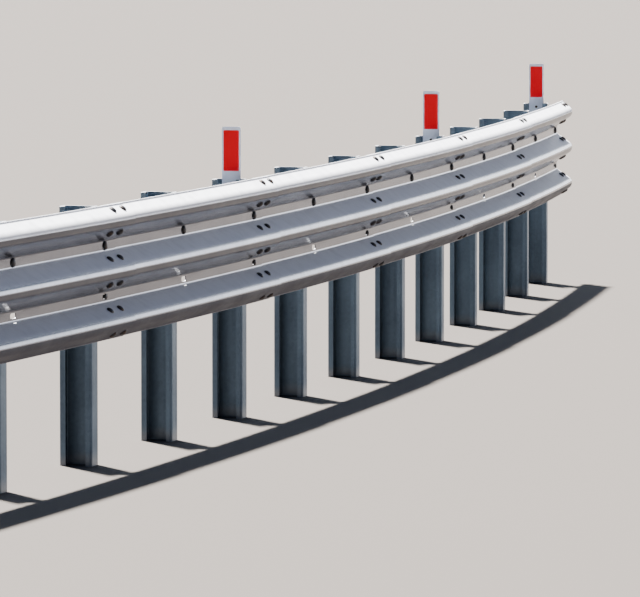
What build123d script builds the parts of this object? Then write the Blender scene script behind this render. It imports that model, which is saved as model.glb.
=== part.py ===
from build123d import *
from math import atan2, copysign, degrees, hypot, radians, sin, tan
import os

# Curved run of three-wave highway guardrail: lipped-channel posts, spacers, lapped
# beam panels and red reflectors. The origin is the middle of the web's foot on the
# middle post. +X runs along the rail there, -Y faces the road and +Z is up. The run
# bends about an upright axis far off on the +Y side, so its outer side faces the road.

# Driving sizes, millimetres
BAYS = 6                    # whole panels in the run
SPACING = 1000.0            # from post to post, two to a panel
BEND_RADIUS = 64000.0       # of the line of posts in plan
BEAM_MID = 740.0            # middle of the beam above the ground
SHEET = 4.0                 # beam sheet
POST_DEPTH = 130.0          # of the post's section, across the rail
POST_WIDTH = 80.0           # of its flanges, along the rail
POST_WALL = 5.0
POST_LIP = 25.0
POST_BELOW = 10.0           # post's top below the beam's top edge
STANDOFF = 30.0             # from the post's flange to the back of the beam
CLEAR = 0.3                 # between pieces that lie against one another

# Three-wave profile: crests a pitch apart, valleys halfway between them
CREST_PITCH = 194.0
BEAM_HEIGHT = 508.0
WAVE_DEPTH = 82.0
CREST_HALF = 18.0           # half of the crest's flat, to its sharp corners
VALLEY_HALF = 22.0
CREST_BEND = 33.0           # bend radii at the middle of the sheet
VALLEY_BEND = 12.0
EDGE_LIP = 7.0              # upright lip along the beam's two edges

# Laps and slots
LAP = 240.0                 # one panel over the next, at every second post
SPLICE_COLUMNS = 116.0      # between the two columns of splice slots
SPLICE_SLOT = (24.0, 18.0)
EDGE_SLOT_OUT = 3.5         # outermost slots, above or below the middle of their slope
POST_SLOT = (60.0, 20.0)
BOLT_HOLE = 18.0

# Spacer: a short piece of upright tube behind the upper valley
SPACER_WIDTH = 70.0
SPACER_HEIGHT = 110.0
SPACER_WALL = 4.0

# Reflector: flat plate on the web's near face with a red sheet on it
REFLECTOR_FIRST = 0         # index of the first post with one
REFLECTOR_EVERY = 4
PLATE_WIDTH = 80.0
PLATE_THICK = 2.5
PLATE_ABOVE = 215.0         # above the post's top
PLATE_BELOW = 70.0
PLATE_CORNER = 9.0
PLATE_HOLES = (20.0, 50.0)  # below the post's top
PLATE_HOLE = 9.0
RED_WIDTH = 66.0
RED_TALL = 168.0
RED_THICK = 1.2
RED_DOWN = 15.0             # from the plate's top to the red sheet's top

# Worked out from the driving sizes
POSTS = 2 * BAYS + 1
MIDDLE = BAYS               # index of the post at the origin, counted from 0
POST_TOP = BEAM_MID + BEAM_HEIGHT / 2 - POST_BELOW
VALLEY = CREST_PITCH / 2
SLOPE_TALL = VALLEY - VALLEY_HALF - CREST_HALF
EDGE_TALL = BEAM_HEIGHT / 2 - EDGE_LIP - CREST_PITCH - CREST_HALF
EDGE_DEPTH = WAVE_DEPTH * (1 - EDGE_TALL / SLOPE_TALL)
NEST = (SHEET + CLEAR) * hypot(WAVE_DEPTH, SLOPE_TALL) / SLOPE_TALL
AXIS_X = -(POST_WIDTH - POST_WALL) / 2
BEAM_BACK = BEND_RADIUS + POST_DEPTH / 2 + STANDOFF


def step_angle(length):
    """Angle in degrees at the bend's axis for a length along the line of posts."""
    return degrees(length / BEND_RADIUS)


def placed(index):
    """Place of a post's frame: x along the rail, y away from the road."""
    turn = Rot(0, 0, step_angle((index - MIDDLE) * SPACING))
    return Pos(AXIS_X, BEND_RADIUS, 0) * turn * Pos(0, -BEND_RADIUS, 0)


def rounded(points, radii):
    """Edges through points, each inner corner rounded with its own radius."""
    edges, start = [], points[0]
    for before, corner, after, radius in zip(points, points[1:], points[2:], radii):
        a = Vector(*before) - Vector(*corner)
        b = Vector(*after) - Vector(*corner)
        half = radians(a.get_angle(b)) / 2
        if half > radians(89.9):
            continue
        reach = radius / tan(half)
        first = Vector(*corner) + a.normalized() * reach
        last = Vector(*corner) + b.normalized() * reach
        inward = (a.normalized() + b.normalized()).normalized()
        middle = Vector(*corner) + inward * (radius / sin(half) - radius)
        edges.append(Line(start, first))
        edges.append(ThreePointArc(first, middle, last))
        start = last
    edges.append(Line(start, points[-1]))
    return edges


def shifted(points, distance):
    """Points of an open outline moved to its left by a distance, with mitres."""
    out = []
    for i, (x, z) in enumerate(points):
        normals = []
        if i > 0:
            normals.append(unit_left(points[i - 1], (x, z)))
        if i < len(points) - 1:
            normals.append(unit_left((x, z), points[i + 1]))
        nx = sum(n[0] for n in normals) / len(normals)
        nz = sum(n[1] for n in normals) / len(normals)
        scale = distance / (nx * nx + nz * nz)
        out.append((x + nx * scale, z + nz * scale))
    return out


def unit_left(p, q):
    """Unit normal to the left of the line from p to q."""
    dx, dz = q[0] - p[0], q[1] - p[1]
    run = hypot(dx, dz)
    return (-dz / run, dx / run)


def wall_face(points, radii, wall):
    """Face of an even wall along an open outline, its corners bent round."""
    sides = []
    for side in (wall / 2, -wall / 2):
        moved = shifted(points, side)
        bends = []
        for before, corner, after, radius in zip(points, points[1:], points[2:], radii):
            turn = (corner[0] - before[0]) * (after[1] - corner[1]) \
                - (corner[1] - before[1]) * (after[0] - corner[0])
            bends.append(radius - side if turn > 0 else radius + side)
        sides.append((moved, rounded(moved, bends)))
    (left, left_edges), (right, right_edges) = sides
    ends = [Line(left[0], right[0]), Line(left[-1], right[-1])]
    return make_face([*left_edges, *right_edges, *ends])


def beam_outline():
    """Corners of the sheet's middle line from top to bottom, and bend radii.

    Each corner is (distance in front of the valley's back face, height).
    """
    low = SHEET / 2
    top, crest = BEAM_HEIGHT / 2, CREST_PITCH
    upper = [(low + EDGE_DEPTH, top), (low + EDGE_DEPTH, top - EDGE_LIP)]
    upper += [(low + WAVE_DEPTH, crest + CREST_HALF), (low + WAVE_DEPTH, crest - CREST_HALF)]
    upper += [(low, VALLEY + VALLEY_HALF), (low, VALLEY - VALLEY_HALF)]
    upper += [(low + WAVE_DEPTH, CREST_HALF)]
    lower = [(depth, -height) for depth, height in reversed(upper)]
    half = [VALLEY_BEND, CREST_BEND, CREST_BEND, VALLEY_BEND, VALLEY_BEND, CREST_BEND]
    return upper + lower, half + half[::-1]


def slot_cutter(size, height, depth, lean, along):
    """Slot through the sheet at an arc length along the rail from a panel's middle.

    lean is the angle in degrees by which the sheet's road side looks up there.
    """
    face = SlotOverall(*size) if size[0] > size[1] else Circle(size[0] / 2)
    slot = extrude(Plane.XZ * face, 8 * SHEET, both=True)
    slot = Pos(0, -depth, height) * Rot(-lean, 0, 0) * slot
    turn = Rot(0, 0, degrees(along / BEND_RADIUS))
    return turn * Pos(0, -BEAM_BACK, 0) * slot


def splice_places():
    """Height, depth and lean of each splice slot's middle, one on every slope."""
    outline, _ = beam_outline()
    places = []
    for (d0, z0), (d1, z1) in zip(outline, outline[1:]):
        if abs(d1 - d0) > WAVE_DEPTH / 2:
            lean = degrees(atan2(d1 - d0, z0 - z1))
            height = (z0 + z1) / 2
            out = EDGE_SLOT_OUT if abs(height) > CREST_PITCH else 0.0
            height += copysign(out, height)
            places.append((height, (d0 + d1) / 2 - out * WAVE_DEPTH / SLOPE_TALL, lean))
    return places


def panel_blank():
    """Curved panel with no slots about the bend's axis, its middle at angle 0."""
    outline, bends = beam_outline()
    face = wall_face([(BEAM_BACK + d, z) for d, z in outline], bends, SHEET)
    swing = step_angle(2 * SPACING + LAP)
    return Rot(0, 0, -90 - swing / 2) * revolve(Plane.XZ * face, Axis.Z, swing)


def panel_slots():
    """Cutters for a panel's splice slots, one lot for each end, and for its post slots."""
    lots = []
    for end in (-SPACING, SPACING):
        columns = [end - SPLICE_COLUMNS / 2, end + SPLICE_COLUMNS / 2]
        lots.append([slot_cutter(SPLICE_SLOT, *spot, x) for x in columns for spot in splice_places()])
    spots = [(height, x) for height in (-VALLEY, VALLEY) for x in (-SPACING, 0, SPACING)]
    lots.append([slot_cutter(POST_SLOT, height, SHEET / 2, 0, x) for height, x in spots])
    return lots


def shingled(bay):
    """Place of a panel on the run, its far end one nest in front, over the next one's near end."""
    tilt = Rot(0, 0, -degrees(NEST / (2 * SPACING)))
    lean = Pos(0, -BEAM_BACK, 0) * tilt * Pos(0, BEAM_BACK, 0)
    seat = Pos(0, -NEST / 2, BEAM_MID)
    turn = Rot(0, 0, step_angle((2 * bay + 1 - MIDDLE) * SPACING))
    return Pos(AXIS_X, BEND_RADIUS, 0) * turn * seat * lean


def beam_panel(blank, slots, bay):
    """One panel in its place, its slots cut through there."""
    place = shingled(bay)
    panel = place * blank
    for lot in slots:
        panel -= [place * cutter for cutter in lot]
    return panel


def post():
    """Lipped channel, its web square to the rail at the far side, open at the near side."""
    far, near = (POST_WIDTH - POST_WALL) / 2, -(POST_WIDTH - POST_WALL) / 2
    side = (POST_DEPTH - POST_WALL) / 2
    lip = POST_DEPTH / 2 - POST_LIP
    outline = [(near, lip), (near, side), (far, side), (far, -side), (near, -side), (near, -lip)]
    face = wall_face(outline, [1.5 * POST_WALL] * 4, POST_WALL)
    column = extrude(face, POST_TOP)
    hole = Cylinder(BOLT_HOLE / 2, 4 * POST_WALL, rotation=(90, 0, 0))
    return column - Pos(0, -side, BEAM_MID + VALLEY) * hole


def spacer_reach(index):
    """Distance from a post's flange to the back of the panel that meets its spacer.

    At a lap that is the rear panel, at its slots the middle of the shingled panel,
    and at the run's far end the last panel, with none behind it.
    """
    if index == POSTS - 1:
        return STANDOFF + NEST
    return STANDOFF + NEST / 2 * (index % 2)


def spacer(reach):
    """Short upright tube that fills the reach from the post's flange to the beam."""
    depth = reach - 2 * CLEAR
    outer = RectangleRounded(SPACER_WIDTH, depth, 2 * SPACER_WALL)
    inner = RectangleRounded(SPACER_WIDTH - 2 * SPACER_WALL, depth - 2 * SPACER_WALL, SPACER_WALL)
    tube = extrude(outer - inner, SPACER_HEIGHT / 2, both=True)
    hole = Cylinder(BOLT_HOLE / 2, 2 * depth, rotation=(90, 0, 0))
    seat = Pos(0, -POST_DEPTH / 2 - CLEAR - depth / 2, BEAM_MID + VALLEY)
    return seat * (tube - hole)


def reflector_plate():
    """Flat plate with rounded top corners, its far face on the web, holes for two bolts."""
    tall = PLATE_ABOVE + PLATE_BELOW
    face = Pos(0, PLATE_ABOVE - tall / 2) * Rectangle(PLATE_WIDTH, tall)
    face = fillet(face.vertices().sort_by(Axis.Y)[-2:], PLATE_CORNER)
    holes = [Pos(0, -down) * Circle(PLATE_HOLE / 2) for down in PLATE_HOLES]
    return extrude(Plane.YZ * (face - holes), -PLATE_THICK)


def reflector_red():
    """Red sheet on the near side of the plate."""
    middle = PLATE_ABOVE - RED_DOWN - RED_TALL / 2
    face = Pos(0, middle) * RectangleRounded(RED_WIDTH, RED_TALL, PLATE_CORNER / 2)
    return extrude(Plane.YZ * face, -RED_THICK)


def main():
    """Write each piece of the run to its own file."""
    os.makedirs("parts", exist_ok=True)
    column, blank, slots = post(), panel_blank(), panel_slots()
    web_face = POST_WIDTH / 2 - POST_WALL - CLEAR
    plate_seat = Pos(web_face, 0, POST_TOP)
    red_seat = Pos(web_face - PLATE_THICK, 0, POST_TOP)
    for index in range(POSTS):
        place, number = placed(index), f"{index + 1:02d}"
        export_step(place * column, f"parts/post_{number}.step")
        export_step(place * spacer(spacer_reach(index)), f"parts/spacer_{number}.step")
        if index % REFLECTOR_EVERY == REFLECTOR_FIRST:
            export_step(place * plate_seat * reflector_plate(), f"parts/reflector_plate_{number}.step")
            export_step(place * red_seat * reflector_red(), f"parts/reflector_red_{number}.step")
    for bay in range(BAYS):
        export_step(beam_panel(blank, slots, bay), f"parts/beam_panel_{bay + 1}.step")


main()
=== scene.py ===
"""Looks of a curved run of three-wave guardrail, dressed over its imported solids.

Every solid of the run stays and is given a finish of its own. What is added are the
small fasteners, each worked out as a surface with numpy and set where the slots are:
button-headed bolts with their nuts in the valleys and on the laps, and the small
bolts of the reflector plates.
"""

import logging
import math
from dataclasses import dataclass, field
from enum import Enum

import bpy
import numpy as np
from mathutils import Matrix, Vector


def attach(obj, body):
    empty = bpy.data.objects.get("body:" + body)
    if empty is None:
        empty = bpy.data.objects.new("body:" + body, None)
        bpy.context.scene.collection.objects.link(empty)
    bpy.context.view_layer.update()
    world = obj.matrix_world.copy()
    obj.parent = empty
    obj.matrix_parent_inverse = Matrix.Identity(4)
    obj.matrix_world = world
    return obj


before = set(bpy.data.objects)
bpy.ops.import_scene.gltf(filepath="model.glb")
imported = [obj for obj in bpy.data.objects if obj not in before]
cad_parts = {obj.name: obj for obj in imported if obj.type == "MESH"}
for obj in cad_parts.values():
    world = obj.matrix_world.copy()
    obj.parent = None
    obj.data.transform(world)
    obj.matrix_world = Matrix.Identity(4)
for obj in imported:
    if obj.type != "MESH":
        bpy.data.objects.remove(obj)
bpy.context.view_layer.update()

log = logging.getLogger("guardrail")

PHOTO_SIZE = (640, 597)

ROUND_SIDES = 20
DOME_ROWS = 7
HEX_SIDES = 24
SHANK_SIDES = 12
SMOOTH_BELOW = 35.0

Colour = tuple[float, float, float]
Span = tuple[float, float]
Surface = tuple[np.ndarray, np.ndarray]
Out = bpy.types.NodeSocket


class Head(Enum):
    """Shapes of bolt head."""

    BUTTON = "shallow dome"
    HEX = "six-sided"


class Slot(Enum):
    """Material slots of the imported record."""

    BEAM = "beam_zinc"
    POST = "post_zinc"
    SPACER = "spacer_zinc"
    PLATE = "plate_zinc"
    RED = "reflector_red"


@dataclass(frozen=True)
class RunPlan:
    """Driving sizes of the run in metres, and the places that follow from them."""

    bays: int = 6
    spacing: float = 1.0
    bend_radius: float = 64.0
    beam_mid: float = 0.740
    sheet: float = 0.004
    clear: float = 0.0003
    post_depth: float = 0.130
    post_width: float = 0.080
    post_wall: float = 0.005
    standoff: float = 0.030
    crest_pitch: float = 0.194
    beam_height: float = 0.508
    wave_depth: float = 0.082
    crest_half: float = 0.018
    valley_half: float = 0.022
    edge_lip: float = 0.007
    splice_columns: float = 0.116
    edge_slot_out: float = 0.0035
    post_below: float = 0.010
    reflector_every: int = 4
    plate_thick: float = 0.0025
    plate_holes: Span = (0.020, 0.050)

    @property
    def posts(self) -> int:
        """Number of posts: two to a bay and one more."""
        return 2 * self.bays + 1

    @property
    def valley(self) -> float:
        """Height of the upper valley above the beam's middle."""
        return self.crest_pitch / 2

    @property
    def slope_tall(self) -> float:
        """Height of a slope between the sharp corners of crest and valley."""
        return self.valley - self.valley_half - self.crest_half

    @property
    def nest(self) -> float:
        """Step between two lapped panels, across the rail, with their slopes touching."""
        slope = math.hypot(self.wave_depth, self.slope_tall)
        return (self.sheet + self.clear) * slope / self.slope_tall

    @property
    def axis_x(self) -> float:
        """X of the bend's axis: the middle post's web stands at the origin."""
        return -(self.post_width - self.post_wall) / 2

    @property
    def beam_back(self) -> float:
        """Distance of the valleys' back face from the bend's axis, for a panel unmoved."""
        return self.bend_radius + self.post_depth / 2 + self.standoff

    @property
    def post_top(self) -> float:
        """Height of the posts, a little below the beam's top edge."""
        return self.beam_mid + self.beam_height / 2 - self.post_below

    def post_place(self, index: int) -> Matrix:
        """Place of a post's frame.

        Args:
            index: the post, counted from 0 at the near end.

        Returns:
            Matrix with x along the rail and y away from the road, its origin on the
            line of posts at the ground.
        """
        angle = (index - self.bays) * self.spacing / self.bend_radius
        turn = Matrix.Rotation(angle, 4, "Z")
        out = Matrix.Translation((self.axis_x, self.bend_radius, 0))
        return out @ turn @ Matrix.Translation((0, -self.bend_radius, 0))

    def panel_place(self, bay: int) -> Matrix:
        """Place of a panel about the bend's axis, far end one nest in front.

        Args:
            bay: the panel, counted from 0 at the near end.

        Returns:
            Matrix from the frame of a panel whose middle is at angle 0.
        """
        middle = (2 * bay + 1 - self.bays) * self.spacing / self.bend_radius
        tilt = Matrix.Rotation(-self.nest / (2 * self.spacing), 4, "Z")
        back = Matrix.Translation((0, -self.beam_back, 0))
        lean = back @ tilt @ back.inverted()
        seat = Matrix.Translation((0, -self.nest / 2, self.beam_mid))
        turn = Matrix.Rotation(middle, 4, "Z")
        return Matrix.Translation((self.axis_x, self.bend_radius, 0)) @ turn @ seat @ lean

    def on_panel(self, bay: int, along: float, height: float, depth: float, lean: float) -> Matrix:
        """Frame on a panel's sheet: +Z out of its road side, +X along the rail.

        Args:
            bay: the panel.
            along: arc length from the panel's middle, at the line of posts.
            height: above the beam's middle.
            depth: in front of the valleys' back face, to the middle of the sheet.
            lean: angle of the sheet's outward normal above the level, in radians.

        Returns:
            Matrix of that frame in the run.
        """
        turn = Matrix.Rotation(along / self.bend_radius, 4, "Z")
        out = Matrix.Translation((0, -self.beam_back - depth, height))
        face = Matrix.Rotation(math.pi / 2 - lean, 4, "X")
        return self.panel_place(bay) @ turn @ out @ face

    def slope_spots(self) -> list[tuple[float, float, float]]:
        """Place of the splice slots on each of the six slopes, from the top down.

        They are in the middle of the inner slopes and a little further out on the two
        outer ones, where the sheet ends.

        Returns:
            (height, depth, lean) of each, lean being positive where the slope faces up.
        """
        low = self.sheet / 2
        steep = math.atan2(self.wave_depth, self.slope_tall)
        edge_tall = self.beam_height / 2 - self.edge_lip - self.crest_pitch - self.crest_half
        edge_depth = self.wave_depth * (1 - edge_tall / self.slope_tall)
        rise = edge_tall / 2 + self.edge_slot_out
        further = self.edge_slot_out * self.wave_depth / self.slope_tall
        fall = (self.wave_depth - edge_depth) / 2 + further
        outer = (self.crest_pitch + self.crest_half + rise, low + self.wave_depth - fall)
        inner = low + self.wave_depth / 2
        reach = self.valley_half + self.slope_tall / 2
        spots = [(outer[0], outer[1], steep), (self.valley + reach, inner, -steep)]
        spots += [(self.valley - reach, inner, steep), (-self.valley + reach, inner, -steep)]
        spots += [(-self.valley - reach, inner, steep), (-outer[0], outer[1], -steep)]
        return spots


@dataclass
class Grid:
    """Points and faces of one piece, gathered from several grids before it is made."""

    points: list[np.ndarray] = field(default_factory=list)
    faces: list[np.ndarray] = field(default_factory=list)
    count: int = 0

    def add(self, points: np.ndarray, faces: np.ndarray) -> None:
        """Add a grid's points and its faces, which are counted from its own first point."""
        self.points.append(points)
        self.faces.append(faces + self.count)
        self.count += len(points)

    def copies(self, points: np.ndarray, faces: np.ndarray, places: list[Matrix]) -> None:
        """Add a grid once for each place, turned and moved there as whole arrays."""
        for place in places:
            m = np.array(place)
            self.add(points @ m[:3, :3].T + m[:3, 3], faces)

    def made(self, name: str) -> bpy.types.Object:
        """Make the gathered grids one mesh object at the origin.

        Args:
            name: the piece's name.

        Returns:
            The new object, linked to the scene.
        """
        mesh = bpy.data.meshes.new(name)
        faces = np.concatenate(self.faces)
        mesh.from_pydata(np.concatenate(self.points).tolist(), [], faces.tolist())
        mesh.validate()
        mesh.shade_smooth()
        mesh.set_sharp_from_angle(angle=math.radians(SMOOTH_BELOW))
        piece = bpy.data.objects.new(name, mesh)
        bpy.context.scene.collection.objects.link(piece)
        return piece


def turned(profile: np.ndarray, sides: int, hexagon: np.ndarray | None = None) -> Surface:
    """Closed surface of a profile turned about +Z, both its ends on the axis.

    Point (i, k) is the profile's radius r_i at angle t_k = 2 pi k / sides and its
    height h_i. Where hexagon holds a weight w_i above 0, the radius is
    r_i / cos(((t_k + pi/6) mod pi/3) - pi/6), the rim of a hexagon r_i from its middle
    to its flats, mixed with the round one by that weight. The first and last rows,
    whose radius is 0, are one point each, joined to the ring beside it by a fan.

    Args:
        profile: rows of (radius, height), from the bottom's middle round to the top's.
        sides: points round each ring.
        hexagon: for each row, how far its ring is a hexagon, from 0 to 1.

    Returns:
        Points, the bottom's first, then ring by ring and the top's last, and triangles.
    """
    angle = 2 * np.pi * np.arange(sides) / sides
    radius = np.repeat(profile[:, :1], sides, axis=1)
    if hexagon is not None:
        rim = 1 / np.cos((angle + np.pi / 6) % (np.pi / 3) - np.pi / 6)
        radius = radius * (1 + hexagon[:, None] * (rim[None, :] - 1))
    height = np.repeat(profile[:, 1:], sides, axis=1)
    rings = np.stack([radius * np.cos(angle), radius * np.sin(angle), height], axis=-1)[1:-1]
    bottom, top = [0.0, 0.0, profile[0, 1]], [0.0, 0.0, profile[-1, 1]]
    points = np.concatenate([[bottom], rings.reshape(-1, 3), [top]])
    row, k = np.meshgrid(np.arange(len(profile) - 3), np.arange(sides), indexing="ij")
    after = (k + 1) % sides
    near, far = 1 + row * sides, 1 + (row + 1) * sides
    lower = np.stack([near + k, near + after, far + after], axis=-1).reshape(-1, 3)
    upper = np.stack([near + k, far + after, far + k], axis=-1).reshape(-1, 3)
    first, last = np.zeros(sides, int), np.full(sides, len(points) - 1)
    fan_low = np.stack([first, 1 + after[0], 1 + k[0]], axis=-1)
    fan_top = np.stack([last - sides + k[0], last - sides + after[0], last], axis=-1)
    return points, np.concatenate([fan_low, lower, upper, fan_top])


@dataclass(frozen=True)
class RoadBolt:
    """Bolt with a button or hexagon head and its nut, sizes in metres.

    Its frame's origin is on the face that the head bears on, +Z out of the head. The
    head's radius is to its rim, or to the flats of a hexagon.
    """

    kind: Head = Head.BUTTON
    head_radius: float = 0.018
    head_tall: float = 0.0095
    head_rim: float = 0.0018
    head_edge: float = 0.0006
    head_chamfer: float = 0.0012
    shank_radius: float = 0.008
    shank_chamfer: float = 0.0015
    shank_inside_head: float = 0.001
    nut_flat: float = 0.0135
    nut_tall: float = 0.014
    nut_chamfer: float = 0.0016
    washer_radius: float = 0.0165
    washer_thick: float = 0.003
    washer_edge: float = 0.0004
    beyond: float = 0.006

    def head(self) -> Surface:
        """Head: an ellipse's quarter on a short upright rim, or a chamfered hexagon."""
        radius, tall, rim = self.head_radius, self.head_tall, self.head_rim
        if self.kind is Head.HEX:
            cut = self.head_chamfer
            rows = np.array([[0.0, 0.0], [radius - cut / 2, 0.0], [radius, cut / 2],
                             [radius, tall - cut], [radius - cut, tall], [0.0, tall]])
            return turned(rows, HEX_SIDES, np.array([0.0, 0.6, 1.0, 1.0, 0.3, 0.0]))
        angle = np.linspace(0, np.pi / 2, DOME_ROWS)
        dome = np.stack([radius * np.cos(angle), rim + (tall - rim) * np.sin(angle)], axis=1)
        dome[-1, 0] = 0.0
        base = np.array([[0.0, 0.0], [radius - self.head_edge, 0.0], [radius, self.head_edge]])
        return turned(np.concatenate([base, dome]), ROUND_SIDES)

    def shank(self, length: float) -> Surface:
        """Plain shank from inside the head down to a chamfered end.

        Args:
            length: from the bearing face to the shank's end.

        Returns:
            Points and faces.
        """
        radius, cut, top = self.shank_radius, self.shank_chamfer, self.shank_inside_head
        rows = np.array([[0.0, -length], [radius - cut, -length], [radius, -length + cut],
                         [radius, top], [0.0, top]])
        return turned(rows, SHANK_SIDES)

    def nut(self, under: float) -> Surface:
        """Six-sided nut with chamfered ends, under its washer.

        Args:
            under: depth of the face that the washer bears on.

        Returns:
            Points and faces.
        """
        flat, cut = self.nut_flat, self.nut_chamfer
        top = -under - self.washer_thick
        low = top - self.nut_tall
        rows = np.array([[0.0, low], [flat - cut, low], [flat, low + cut],
                         [flat, top - cut / 2], [flat - cut / 2, top], [0.0, top]])
        return turned(rows, HEX_SIDES, np.array([0.0, 0.2, 1.0, 1.0, 0.6, 0.0]))

    def washer(self, under: float) -> Surface:
        """Flat round washer between a face and the nut.

        Args:
            under: depth of the face that it bears on.

        Returns:
            Points and faces.
        """
        radius, edge = self.washer_radius, self.washer_edge
        top, low = -under, -under - self.washer_thick
        rows = np.array([[0.0, low], [radius - edge, low], [radius, low + edge],
                         [radius, top - edge], [radius - edge, top], [0.0, top]])
        return turned(rows, ROUND_SIDES)

    def whole(self, grip: float) -> Surface:
        """Head, shank, washer and nut as one set of grids.

        Args:
            grip: thickness held between the head and the washer.

        Returns:
            Points and faces of all four.
        """
        parts = Grid()
        length = grip + self.washer_thick + self.nut_tall + self.beyond
        for part in (self.head(), self.shank(length), self.washer(grip), self.nut(grip)):
            parts.add(*part)
        return np.concatenate(parts.points), np.concatenate(parts.faces)


class Net:
    """Small helper that lays out nodes of one tree and links them."""

    def __init__(self, tree: bpy.types.NodeTree) -> None:
        """Keep the tree that the nodes go into."""
        self.tree = tree

    def node(self, kind: str, inputs: dict | None = None, **settings: object) -> bpy.types.Node:
        """Add a node.

        Args:
            kind: the node's type name.
            inputs: values or output sockets for its inputs, by name or index.
            settings: properties of the node.

        Returns:
            The new node.
        """
        node = self.tree.nodes.new(kind)
        for key, value in settings.items():
            setattr(node, key, value)
        for key, value in (inputs or {}).items():
            if isinstance(value, bpy.types.NodeSocket):
                self.tree.links.new(value, node.inputs[key])
            else:
                node.inputs[key].default_value = value
        return node

    def math(self, operation: str, a: object, b: object = 0.5, clamp: bool = False) -> Out:
        """One sum of two values or sockets, and its output."""
        node = self.node("ShaderNodeMath", {0: a, 1: b}, operation=operation, use_clamp=clamp)
        return node.outputs[0]

    def ramp(self, value: Out, span: tuple, to: tuple = (0, 1)) -> Out:
        """Map a value from one span to another, clamped and smooth at both ends."""
        inputs = {"Value": value, "From Min": span[0], "From Max": span[1],
                  "To Min": to[0], "To Max": to[1]}
        node = self.node("ShaderNodeMapRange", inputs, interpolation_type="SMOOTHSTEP")
        return node.outputs["Result"]

    def mix(self, factor: object, a: object, b: object, blend: str = "MIX") -> Out:
        """Mix two colours by a factor."""
        inputs = {0: factor, 6: a, 7: b}
        return self.node("ShaderNodeMix", inputs, data_type="RGBA", blend_type=blend).outputs[2]

    def noise(self, vector: Out, scale: float, detail: float = 3.0, rough: float = 0.55) -> Out:
        """Fractal noise of a vector, from 0 to 1."""
        inputs = {"Vector": vector, "Scale": scale, "Detail": detail, "Roughness": rough}
        return self.node("ShaderNodeTexNoise", inputs).outputs["Fac"]

    def along_z(self, vector: Out) -> Out:
        """The vector's Z."""
        return self.node("ShaderNodeSeparateXYZ", {"Vector": vector}).outputs["Z"]

    def object_place(self) -> Out:
        """The point's place in its object's own coordinates."""
        return self.node("ShaderNodeTexCoord").outputs["Object"]

    def drawn_out(self, vector: Out, squeeze: float) -> Out:
        """The vector squeezed along Z, so that noise of it runs in upright streaks."""
        inputs = {"Vector": vector, "Scale": (1, 1, squeeze)}
        return self.node("ShaderNodeMapping", inputs).outputs[0]

    def bump(self, height: Out, strength: float, distance: float) -> Out:
        """Normal of a bump."""
        inputs = {"Height": height, "Strength": strength, "Distance": distance}
        return self.node("ShaderNodeBump", inputs).outputs[0]

    def surface(self, inputs: dict) -> None:
        """Add the material's shader with these inputs, and its output."""
        shader = self.node("ShaderNodeBsdfPrincipled", inputs)
        self.node("ShaderNodeOutputMaterial", {"Surface": shader.outputs[0]})


def new_material(name: str) -> tuple[bpy.types.Material, Net]:
    """Make a material with no nodes, and the helper that lays them out."""
    material = bpy.data.materials.new(name)
    material.use_nodes = True
    material.node_tree.nodes.clear()
    return material, Net(material.node_tree)


def socket(tree: bpy.types.NodeTree, name: str, way: str, kind: str, value: object = None) -> None:
    """Declare a named input or output on a node group, with its default value."""
    item = tree.interface.new_socket(name, in_out=way, socket_type=kind)
    if value is not None:
        item.default_value = value


@dataclass(frozen=True)
class ZincMarks:
    """Where weather has marked the run's zinc, where light and shade are painted on it, and the
    scale of its patterns.

    The spans looks_up, top_bend, looks_down and under_crest are of the surface normal's
    Z, from -1 where it looks down to 1 where it looks up. The spans top_wave,
    lower_waves, darkening_zone and underside are heights above the ground in metres. Each
    goes from where its mark starts to where it is full. An edge is the stretch of a
    noise over which its pattern sets in.
    """

    cloud_scale: float = 3.5
    cloud_edge: Span = (0.3, 0.75)
    cloud_depth: Span = (0, 0.55)
    streak_scale: float = 26.0
    streak_edge: Span = (0.42, 0.72)
    flake_scale: float = 85.0
    fine_scale: float = 240.0
    fine_height: float = 0.25
    fine_rough: float = 0.3
    tone_rough: Span = (0.1, 1.2)
    dent_scale: float = 60.0
    dent_height: float = 0.6
    rain_scale: float = 14.0
    rain_edge: Span = (0.2, 0.6)
    splash_scale: float = 9.0
    streak_squeeze: float = 0.06
    # looks_up, top_bend and top_wave place the pale bloom: partly rain-washed zinc, partly painted
    # sunlight on the top wave
    looks_up: Span = (0.42, 0.80)
    top_bend: Span = (0.0, 0.22)
    top_wave: Span = (0.925, 0.940)
    rain_patches: Span = (0.8, 1.0)
    splash_limit: float = 0.4
    splash_strength: float = 0.45
    splash_waver: float = 0.06
    # looks_down and the spans after it place the dark film: partly road grime, partly painted
    # shade on what faces down
    looks_down: Span = (0.06, -0.12)
    film_and_shade_edge: Span = (0.25, 0.75)
    film_and_shade_patches: Span = (0.88, 1.0)
    underside: Span = (0.60, 0.545)
    underside_matt: Span = (0.5, 1.25)
    underside_rough: Span = (0.06, 0.40)
    lower_waves: Span = (0.735, 0.70)
    lower_matt: Span = (0.0, 0.10)
    under_crest: Span = (-0.80, -0.55)
    crest_matt: Span = (0.0, 0.7)
    darkening_zone: Span = (0.735, 0.66)
    cover_rough: float = 0.4


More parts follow.
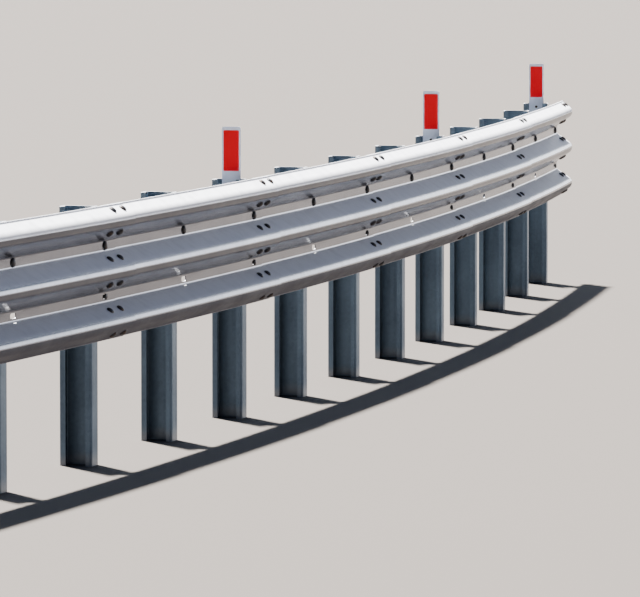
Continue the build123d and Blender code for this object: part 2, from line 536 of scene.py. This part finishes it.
def weathered_zinc_group(marks: ZincMarks) -> bpy.types.NodeTree:
    """Group for hot-dip zinc that has stood outside.

    Its colour is a light tone mixed with a dark one by cloudy noise, by the cells of
    the zinc's spangle and by long drip streaks: noise whose vector is squeezed along Z.
    Where the surface looks up, and over the bend of the top wave, lies a pale matt
    bloom: partly rain-washed zinc and partly painted sunlight, as it reaches furthest on
    the top wave, the part that the sun falls on. Dust is splashed up from the ground.
    Where the surface looks down, a dark film lies on it, partly road grime and partly
    painted shade. It is matt close under a crest and on the beam's underside.
    Patina is how far the whole surface has gone dull, and Low Darkening how far the
    beam's lower part is made darker.

    Args:
        marks: where the marks lie, and how fine they are.

    Returns:
        The node group, with outputs Color, Roughness, Bare and Height. Bare is how far
        the metal shows, 1 where nothing covers it.
    """
    tree = bpy.data.node_groups.new("WeatheredZinc", "ShaderNodeTree")
    for name, value in (
        ("Light", (0.5, 0.52, 0.56, 1)), ("Dark", (0.3, 0.32, 0.36, 1)),
        ("Dust", (0.45, 0.42, 0.38, 1)), ("Streaks", 0.5), ("Spangle", 0.4),
        ("Rough Low", 0.25), ("Rough High", 0.45), ("Grime Top", 0.12),
        ("Film And Shade", (0.16, 0.15, 0.16, 1)), ("Film And Shade Amount", 0.6),
        ("Bloom And Sunlight", (0.7, 0.71, 0.74, 1)), ("Bloom And Sunlight Amount", 0.7),
        ("Patina", 0.0), ("Low Darkening", 0.0),
    ):
        kind = "NodeSocketColor" if isinstance(value, tuple) else "NodeSocketFloat"
        socket(tree, name, "INPUT", kind, value)
    socket(tree, "Color", "OUTPUT", "NodeSocketColor")
    for name in ("Roughness", "Bare", "Height"):
        socket(tree, name, "OUTPUT", "NodeSocketFloat")
    net = Net(tree)
    given = net.node("NodeGroupInput").outputs
    place = net.object_place()
    height = net.along_z(place)
    facing = net.along_z(net.node("ShaderNodeNewGeometry").outputs["Normal"])
    drawn = net.drawn_out(place, marks.streak_squeeze)

    # The metal's own tone
    clouds = net.noise(place, marks.cloud_scale, 4)
    fine = net.noise(place, marks.fine_scale, 2)
    streaks = net.ramp(net.noise(drawn, marks.streak_scale, 4, 0.6), marks.streak_edge)
    cells = net.node("ShaderNodeTexVoronoi", {
        "Vector": place, "Scale": marks.flake_scale, "Randomness": 1.0}, feature="F1")
    flake = net.node("ShaderNodeSeparateColor", {"Color": cells.outputs["Color"]}).outputs[0]
    streak_part = net.math("MULTIPLY", streaks, given["Streaks"])
    flake_part = net.math("MULTIPLY", flake, given["Spangle"])
    marked = net.math("ADD", streak_part, flake_part)
    cloudy = net.ramp(clouds, marks.cloud_edge, marks.cloud_depth)
    tone = net.math("ADD", cloudy, marked, True)
    steel = net.mix(tone, given["Light"], given["Dark"])

    # Pale bloom on what looks up, partly painted sunlight on the top wave, and dust splashed on
    # the posts' feet
    upward = net.math("MULTIPLY", net.ramp(facing, marks.looks_up), given["Bloom And Sunlight Amount"])
    # Painted sunlight: the bloom spreads over the bend of the top wave only, the part the sun
    # falls on
    sunlit_top_bloom = net.math(
        "MULTIPLY", net.ramp(facing, marks.top_bend), net.ramp(height, marks.top_wave))
    rain = net.noise(drawn, marks.rain_scale, 4, 0.6)
    rain = net.ramp(rain, marks.rain_edge, marks.rain_patches)
    bloom_and_sunlight = net.math("MULTIPLY", net.math("MAXIMUM", upward, sunlit_top_bloom), rain)
    waver = net.math("MULTIPLY", net.noise(place, marks.splash_scale, 3), marks.splash_waver)
    splash_edge = net.math("ADD", given["Grime Top"], waver)
    near_ground = net.math("LESS_THAN", height, marks.splash_limit)
    splash = net.math("MULTIPLY", near_ground, net.ramp(
        height, (0.0, splash_edge), (marks.splash_strength, 0.0)))

    # Dark film on what looks down, partly road grime and partly painted shade, and how much of it
    # is matt
    film_and_shade_facing_down = net.math("MULTIPLY", net.ramp(facing, marks.looks_down), given["Film And Shade Amount"])
    patches = net.ramp(clouds, marks.film_and_shade_edge, marks.film_and_shade_patches)
    film_and_shade = net.math("MULTIPLY", film_and_shade_facing_down, patches)
    matt = net.math("ADD", net.ramp(height, marks.underside, marks.underside_matt),
                    net.ramp(height, marks.lower_waves, marks.lower_matt))
    matt = net.math("ADD", matt, net.ramp(facing, marks.under_crest, marks.crest_matt))
    matt_film_and_shade = net.math("MULTIPLY", film_and_shade, matt, True)
    dull = net.math("MAXIMUM", net.math("MAXIMUM", bloom_and_sunlight, splash), given["Patina"])
    bare = net.math("SUBTRACT", 1.0, net.math("MAXIMUM", dull, matt_film_and_shade))

    dust_bloom_and_sunlight = net.mix(splash, net.mix(bloom_and_sunlight, steel, given["Bloom And Sunlight"]), given["Dust"])
    colour = net.mix(film_and_shade, dust_bloom_and_sunlight, given["Film And Shade"])
    # Darker towards the bottom: the beam below its middle is made darker
    low_darkening = net.math("MULTIPLY", net.ramp(height, marks.darkening_zone), given["Low Darkening"])
    colour = net.mix(1.0, colour, net.math("SUBTRACT", 1.0, low_darkening), "MULTIPLY")

    rough = net.node("ShaderNodeMapRange", {
        "Value": net.math("ADD", tone, net.math("MULTIPLY", fine, marks.fine_rough)),
        "From Min": marks.tone_rough[0], "From Max": marks.tone_rough[1],
        "To Min": given["Rough Low"], "To Max": given["Rough High"]}).outputs["Result"]
    rough = net.math("ADD", rough, net.math("MULTIPLY", dull, marks.cover_rough))
    caked = net.math("MULTIPLY", film_and_shade, net.ramp(height, marks.underside, marks.underside_rough))
    rough = net.math("ADD", rough, caked, True)
    dents = net.math("MULTIPLY", net.noise(place, marks.dent_scale, 3), marks.dent_height)
    bumps = net.math("ADD", dents, net.math("MULTIPLY", fine, marks.fine_height))
    net.node("NodeGroupOutput", {
        "Color": colour, "Roughness": rough, "Bare": bare, "Height": bumps})
    return tree


def reflex_cells_group(
    line_edge: Span = (0.0, 0.16), scuff_scale: float = 70.0, scuff_edge: Span = (0.52, 0.75),
) -> bpy.types.NodeTree:
    """Group for the face of retro-reflective sheet.

    Two crossed families of thin lines, a sine of (y + z) and of (y - z), seal the sheet
    in small diamonds. Faint scuffs of noise lie over them.

    Args:
        line_edge: size of the sine where a line is full and where it ends.
        scuff_scale: scale of the scuffs' noise.
        scuff_edge: the noise where a scuff starts and where it is full.

    Returns:
        The node group, with outputs Lines, Scuffs and Height.
    """
    tree = bpy.data.node_groups.new("ReflexCells", "ShaderNodeTree")
    socket(tree, "Cells Per Metre", "INPUT", "NodeSocketFloat", 220.0)
    for name in ("Lines", "Scuffs", "Height"):
        socket(tree, name, "OUTPUT", "NodeSocketFloat")
    net = Net(tree)
    given = net.node("NodeGroupInput").outputs
    place = net.object_place()
    axes = net.node("ShaderNodeSeparateXYZ", {"Vector": place}).outputs
    lines = []
    for operation in ("ADD", "SUBTRACT"):
        across = net.math(operation, axes["Y"], axes["Z"])
        turns = net.math("MULTIPLY", across, given["Cells Per Metre"])
        wave = net.math("ABSOLUTE", net.math("SINE", net.math("MULTIPLY", turns, math.pi)))
        lines.append(net.ramp(wave, line_edge, (1, 0)))
    line = net.math("MAXIMUM", lines[0], lines[1])
    scuffs = net.ramp(net.noise(place, scuff_scale, 5, 0.7), scuff_edge)
    net.node("NodeGroupOutput", {"Lines": line, "Scuffs": scuffs, "Height": line})
    return tree


@dataclass(frozen=True)
class ZincFinish:
    """Weathered zinc: its tones, how strong its marks are, and its roughness."""

    name: str
    light: Colour
    dark: Colour
    rough: Span
    dust: Colour = (0.40, 0.37, 0.34)
    streaks: float = 0.35
    spangle: float = 0.25
    grime_top: float = 0.10
    # Dark film on what looks down: partly road grime, partly painted shade
    film_and_shade: Colour = (0.060, 0.063, 0.085)
    film_and_shade_amount: float = 0.92
    # Pale bloom on what looks up: partly rain-washed zinc, partly painted light, white where the
    # sun falls and bluish for skylight in shade
    bloom_and_sunlight: Colour = (0.80, 0.83, 0.91)
    bloom_and_sunlight_amount: float = 0.85
    patina: float = 0.0
    low_darkening: float = 0.0
    specular: float = 0.06
    bump: float = 0.012
    bump_depth: float = 0.002

    def made(self) -> bpy.types.Material:
        """Build the material on the shared zinc group."""
        material, net = new_material(self.name)
        group = bpy.data.node_groups.get("WeatheredZinc") or weathered_zinc_group(ZincMarks())
        zinc = net.node("ShaderNodeGroup", node_tree=group)
        for key, value in (
            ("Light", (*self.light, 1)), ("Dark", (*self.dark, 1)), ("Dust", (*self.dust, 1)),
            ("Streaks", self.streaks), ("Spangle", self.spangle),
            ("Rough Low", self.rough[0]), ("Rough High", self.rough[1]),
            ("Grime Top", self.grime_top),
            ("Film And Shade", (*self.film_and_shade, 1)), ("Film And Shade Amount", self.film_and_shade_amount),
            ("Bloom And Sunlight", (*self.bloom_and_sunlight, 1)), ("Bloom And Sunlight Amount", self.bloom_and_sunlight_amount),
            ("Patina", self.patina), ("Low Darkening", self.low_darkening),
        ):
            zinc.inputs[key].default_value = value
        net.surface({
            "Base Color": zinc.outputs["Color"], "Roughness": zinc.outputs["Roughness"],
            "Metallic": zinc.outputs["Bare"], "Specular IOR Level": self.specular,
            "Normal": net.bump(zinc.outputs["Height"], self.bump, self.bump_depth)})
        return material


@dataclass(frozen=True)
class PaintedPlateFinish:
    """Pale blue-white painted coat on the reflector plates, dulled in clouds and streaks; its blue
    is partly painted skylight, as the plates stand in shade.
    """

    name: str = "plate_zinc"
    # Blue-white: partly the plates' own colour, partly painted skylight
    paint_and_skylight: Colour = (0.74, 0.83, 1.0)
    dull: Colour = (0.62, 0.71, 0.90)
    rough: Span = (0.38, 0.6)
    streak_scale: float = 60.0
    streak_squeeze: float = 0.12
    streak_edge: Span = (0.5, 0.75)
    streak_depth: Span = (0, 0.6)
    cloud_scale: float = 22.0
    cloud_edge: Span = (0.4, 0.75)
    cloud_depth: Span = (0, 0.5)
    grain_scale: float = 300.0
    bump: float = 0.08
    bump_depth: float = 0.001

    def made(self) -> bpy.types.Material:
        """Build the material."""
        material, net = new_material(self.name)
        place = net.object_place()
        drawn = net.drawn_out(place, self.streak_squeeze)
        streaks = net.noise(drawn, self.streak_scale, 4, 0.6)
        clouds = net.noise(place, self.cloud_scale, 3)
        worn = net.math("MAXIMUM", net.ramp(streaks, self.streak_edge, self.streak_depth),
                        net.ramp(clouds, self.cloud_edge, self.cloud_depth))
        net.surface({
            "Base Color": net.mix(worn, (*self.paint_and_skylight, 1), (*self.dull, 1)),
            "Roughness": net.ramp(worn, (0, 1), self.rough),
            "Normal": net.bump(net.noise(place, self.grain_scale, 2), self.bump, self.bump_depth)})
        return material


@dataclass(frozen=True)
class DarkSteelAndShadeFinish:
    """Bolts nearly black, partly oxidised steel and partly painted shade, with rust in patches."""

    name: str = "bolt_dark_steel_and_shade"
    # Near-black: partly oxidised steel, partly painted shade
    black: Colour = (0.030, 0.031, 0.036)
    rust: Colour = (0.075, 0.040, 0.025)
    rough: Span = (0.42, 0.7)
    metallic: float = 0.6
    patch_scale: float = 90.0
    patch_edge: Span = (0.5, 0.68)
    grain_scale: float = 500.0
    grain_rough: float = 0.5
    uneven_span: Span = (0.1, 1.3)
    bump: float = 0.25
    bump_depth: float = 0.0006

    def made(self) -> bpy.types.Material:
        """Build the material."""
        material, net = new_material(self.name)
        place = net.object_place()
        patches = net.ramp(net.noise(place, self.patch_scale, 4, 0.65), self.patch_edge)
        grain = net.noise(place, self.grain_scale, 2)
        uneven = net.math("ADD", patches, net.math("MULTIPLY", grain, self.grain_rough))
        net.surface({
            "Base Color": net.mix(patches, (*self.black, 1), (*self.rust, 1)),
            "Roughness": net.ramp(uneven, self.uneven_span, self.rough),
            "Metallic": self.metallic,
            "Normal": net.bump(grain, self.bump, self.bump_depth)})
        return material


@dataclass(frozen=True)
class RedSheetFinish:
    """Red retro-reflective sheet: a smooth film over a red ground with sealed cells, given a
    painted glow of faint red emission, as the sheet is no lamp.
    """

    name: str = "reflector_red_sheet"
    red: Colour = (0.65, 0.0, 0.012)
    line: Colour = (0.36, 0.0, 0.005)
    scuff: Colour = (0.45, 0.01, 0.012)
    rough: Span = (0.22, 0.5)
    # Painted glow: faint red emission, though the sheet is no lamp
    glow: float = 0.14
    specular: float = 0.06
    cells_per_metre: float = 230.0
    line_strength: float = 0.6
    scuff_strength: float = 0.25
    bump: float = 0.15
    bump_depth: float = 0.0003

    def made(self) -> bpy.types.Material:
        """Build the material on the shared cell group."""
        material, net = new_material(self.name)
        group = bpy.data.node_groups.get("ReflexCells") or reflex_cells_group()
        cells = net.node("ShaderNodeGroup", node_tree=group)
        cells.inputs["Cells Per Metre"].default_value = self.cells_per_metre
        lines = net.math("MULTIPLY", cells.outputs["Lines"], self.line_strength)
        scuffs = net.math("MULTIPLY", cells.outputs["Scuffs"], self.scuff_strength)
        ground = net.mix(lines, (*self.red, 1), (*self.line, 1))
        net.surface({
            "Base Color": net.mix(scuffs, ground, (*self.scuff, 1)),
            "Roughness": net.ramp(cells.outputs["Scuffs"], (0, 1), self.rough),
            "Specular IOR Level": self.specular,
            "Normal": net.bump(cells.outputs["Height"], self.bump, self.bump_depth),
            "Emission Color": (*self.red, 1), "Emission Strength": self.glow})
        return material


@dataclass
class SteelRun:
    """The solids that stay: posts, spacers, panels, plates and red sheets, each dressed."""

    finishes: dict[Slot, bpy.types.Material]

    def dress(self) -> None:
        """Give each solid the finish of its slot."""
        prefixes = {"beam_panel": Slot.BEAM, "post": Slot.POST, "spacer": Slot.SPACER,
                    "reflector_plate": Slot.PLATE, "reflector_red": Slot.RED}
        for name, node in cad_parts.items():
            slot = next(s for prefix, s in prefixes.items() if name.startswith(prefix))
            node.data.materials.clear()
            node.data.materials.append(self.finishes[slot])
        log.info("dressed %d solids", len(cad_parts))


@dataclass
class Fasteners:
    """Every bolt of the run with its nut, gathered into a piece for each post or lap."""

    plan: RunPlan
    finish: bpy.types.Material
    bolt: RoadBolt = RoadBolt()
    lap_bolt: RoadBolt = RoadBolt(head_radius=0.016)
    valley_bolt: RoadBolt = RoadBolt(head_radius=0.0125, head_tall=0.008)
    plate_bolt: RoadBolt = RoadBolt(
        Head.HEX, head_radius=0.0065, head_tall=0.005, shank_radius=0.004, nut_flat=0.0065,
        nut_tall=0.006, washer_radius=0.008, washer_thick=0.0015, beyond=0.003)

    def finished(self, grid: Grid, name: str) -> None:
        """Make a gathered grid a piece with the bolts' finish that rides on the run."""
        piece = grid.made(name)
        piece.data.materials.append(self.finish)
        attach(piece, "root")
        log.info("%s: %d faces", name, len(piece.data.polygons))

    def front_bay(self, index: int) -> tuple[int, float]:
        """The panel in front at a post, and the post's arc length from that panel's middle."""
        if index % 2:
            return index // 2, 0.0
        if index == 0:
            return 0, -self.plan.spacing
        return index // 2 - 1, self.plan.spacing

    def post_bolts(self) -> None:
        """One long bolt at each post, through the upper valley, the spacer and the flange."""
        plan = self.plan
        flange = Vector((0, -plan.post_depth / 2 + plan.post_wall, plan.beam_mid + plan.valley))
        for index in range(plan.posts):
            bay, along = self.front_bay(index)
            seat = plan.on_panel(bay, along, plan.valley, plan.sheet / 2, 0.0)
            place = seat @ Matrix.Translation((0, 0, plan.sheet / 2))
            grip = (place.translation - plan.post_place(index) @ flange).length
            grid = Grid()
            grid.copies(*self.bolt.whole(grip), [place])
            self.finished(grid, f"post_bolt_{index + 1:02d}")

    def splice_bolts(self) -> None:
        """Thirteen short bolts at each lap and at both ends: twelve on the slopes, one below.

        The twelve are in two columns on the six slopes. The one below has a smaller head
        and fills the lower valley's slot, which stays open at the posts in between.
        """
        plan = self.plan
        for index in range(0, plan.posts, 2):
            bay, along = self.front_bay(index)
            lapped = 0 < index < plan.posts - 1
            grip = 2 * plan.sheet + plan.clear if lapped else plan.sheet
            places = []
            for height, depth, lean in plan.slope_spots():
                for side in (-plan.splice_columns / 2, plan.splice_columns / 2):
                    spot = plan.on_panel(bay, along + side, height, depth, lean)
                    places.append(spot @ Matrix.Translation((0, 0, plan.sheet / 2)))
            grid = Grid()
            grid.copies(*self.lap_bolt.whole(grip), places)
            seat = plan.on_panel(bay, along, -plan.valley, plan.sheet, 0.0)
            held = plan.nest + plan.sheet if lapped else plan.sheet
            grid.copies(*self.valley_bolt.whole(held), [seat])
            self.finished(grid, f"splice_bolts_{index // 2 + 1}")

    def plate_bolts(self) -> None:
        """Two small bolts on each reflector plate, through the post's web."""
        plan = self.plan
        web_face = plan.post_width / 2 - plan.post_wall
        near_face = web_face - plan.clear - plan.plate_thick
        grip = plan.plate_thick + plan.clear + plan.post_wall
        for index in range(0, plan.posts, plan.reflector_every):
            post = plan.post_place(index)
            places = []
            for down in plan.plate_holes:
                spot = post @ Matrix.Translation((near_face, 0, plan.post_top - down))
                places.append(spot @ Matrix.Rotation(-math.pi / 2, 4, "Y"))
            grid = Grid()
            grid.copies(*self.plate_bolt.whole(grip), places)
            self.finished(grid, f"plate_bolts_{index + 1:02d}")


@dataclass(frozen=True)
class Studio:
    """Pale floor, soft daylight from beyond the rail, and the camera.

    The camera's place is in metres, its angles in degrees and its focal length in
    pixels of the photo. Spans of the sky are of its direction's Z or X.
    """

    camera_at: tuple[float, float, float] = (-25.0402, -5.6621, 2.2399)
    heading: float = 12.998
    pitch: float = 4.2195
    focal_pixels: float = 5766.6
    sensor: float = 36.0
    sees_to: float = 1000.0
    sun_from: tuple[float, float, float] = (0.36, 0.30, 1.0)
    sun_power: float = 45.0
    sun_spread: float = 3.0
    sun_colour: Colour = (1.0, 0.96, 0.90)
    sky_low: Colour = (0.34, 0.39, 0.50)
    sky_high: Colour = (0.14, 0.22, 0.40)
    sky_span: Span = (0.02, 0.75)
    sky_behind: float = 0.45
    behind_span: Span = (-0.6, 0.6)
    glow: Colour = (0.96, 0.98, 1.0)
    haze_tall: Span = (0.165, 0.262)
    haze_ahead: Span = (0.3, 0.9)
    haze_power: float = 3.3
    floor_half: float = 260.0
    floor_tone: Colour = (0.059, 0.050, 0.044)
    floor_rough: float = 0.9

    def camera(self) -> None:
        """Make the camera: a very long lens that looks along the rail from its near end."""
        data = bpy.data.cameras.new("camera")
        data.sensor_width = self.sensor
        data.sensor_fit = "HORIZONTAL"
        data.lens = self.focal_pixels * self.sensor / PHOTO_SIZE[0]
        data.clip_end = self.sees_to
        data.dof.use_dof = False
        camera = bpy.data.objects.new("camera", data)
        camera.location = self.camera_at
        turn = math.radians(self.heading - 90)
        camera.rotation_euler = (math.radians(90 - self.pitch), 0, turn)
        bpy.context.scene.collection.objects.link(camera)
        bpy.context.scene.camera = camera

    def floor(self) -> None:
        """Make the pale floor, wide enough to fill the long lens."""
        mesh = bpy.data.meshes.new("floor")
        r = self.floor_half
        mesh.from_pydata([(-r, -r, 0), (r, -r, 0), (r, r, 0), (-r, r, 0)], [], [(0, 1, 2, 3)])
        floor = bpy.data.objects.new("floor", mesh)
        material, net = new_material("floor_pale")
        net.surface({"Base Color": (*self.floor_tone, 1), "Roughness": self.floor_rough})
        mesh.materials.append(material)
        bpy.context.scene.collection.objects.link(floor)

    def sun(self) -> None:
        """Make the sun, high and beyond the rail."""
        light = bpy.data.lights.new("sun", "SUN")
        light.energy = self.sun_power
        light.angle = math.radians(self.sun_spread)
        light.color = self.sun_colour
        lamp = bpy.data.objects.new("sun", light)
        lamp.rotation_euler = Vector(self.sun_from).to_track_quat("Z", "Y").to_euler()
        bpy.context.scene.collection.objects.link(lamp)

    def sky(self) -> None:
        """Make the sky: pale low down, dimmer behind the camera, with a bright haze ahead."""
        world = bpy.data.worlds.new("sky")
        world.use_nodes = True
        bpy.context.scene.world = world
        world.node_tree.nodes.clear()
        net = Net(world.node_tree)
        way = net.node("ShaderNodeTexCoord").outputs["Generated"]
        axes = net.node("ShaderNodeSeparateXYZ", {"Vector": way}).outputs
        up, ahead = axes["Z"], axes["X"]
        even = net.mix(net.ramp(up, self.sky_span), (*self.sky_low, 1), (*self.sky_high, 1))
        dim = net.ramp(ahead, self.behind_span, (self.sky_behind, 1.0))
        haze = net.math(
            "MULTIPLY", net.ramp(up, self.haze_tall, (1, 0)), net.ramp(ahead, self.haze_ahead))
        power = net.math("MULTIPLY", haze, self.haze_power)
        scaled = [net.node("ShaderNodeVectorMath", inputs, operation="SCALE").outputs[0]
                  for inputs in ({0: even, "Scale": dim}, {0: self.glow, "Scale": power})]
        both = net.node("ShaderNodeVectorMath", dict(enumerate(scaled)), operation="ADD")
        back = net.node("ShaderNodeBackground", {"Color": both.outputs[0], "Strength": 1.0})
        net.node("ShaderNodeOutputWorld", {"Surface": back.outputs[0]})


def main() -> None:
    """Dress the run, add its fasteners and set the studio."""
    logging.basicConfig(level=logging.INFO)
    beam = ZincFinish(
        "beam_zinc", (0.28, 0.29, 0.33), (0.20, 0.21, 0.25), rough=(0.09, 0.18), low_darkening=0.17)
    # Darker, bluer zinc than the beam's: partly its own tone, partly painted shade and skylight,
    # as the posts stand in shade
    post = ZincFinish(
        "post_zinc", (0.17, 0.245, 0.32), (0.105, 0.155, 0.21), rough=(0.12, 0.22),
        patina=0.36, grime_top=0.03)
    spacer = ZincFinish(
        "spacer_zinc", (0.44, 0.47, 0.52), (0.30, 0.33, 0.38), rough=(0.38, 0.55))
    SteelRun({
        Slot.BEAM: beam.made(), Slot.POST: post.made(), Slot.SPACER: spacer.made(),
        Slot.PLATE: PaintedPlateFinish().made(), Slot.RED: RedSheetFinish().made(),
    }).dress()
    fasteners = Fasteners(RunPlan(), DarkSteelAndShadeFinish().made())
    fasteners.post_bolts()
    fasteners.splice_bolts()
    fasteners.plate_bolts()
    studio = Studio()
    studio.floor()
    studio.sun()
    studio.sky()
    studio.camera()


if __name__ == "__main__":
    main()
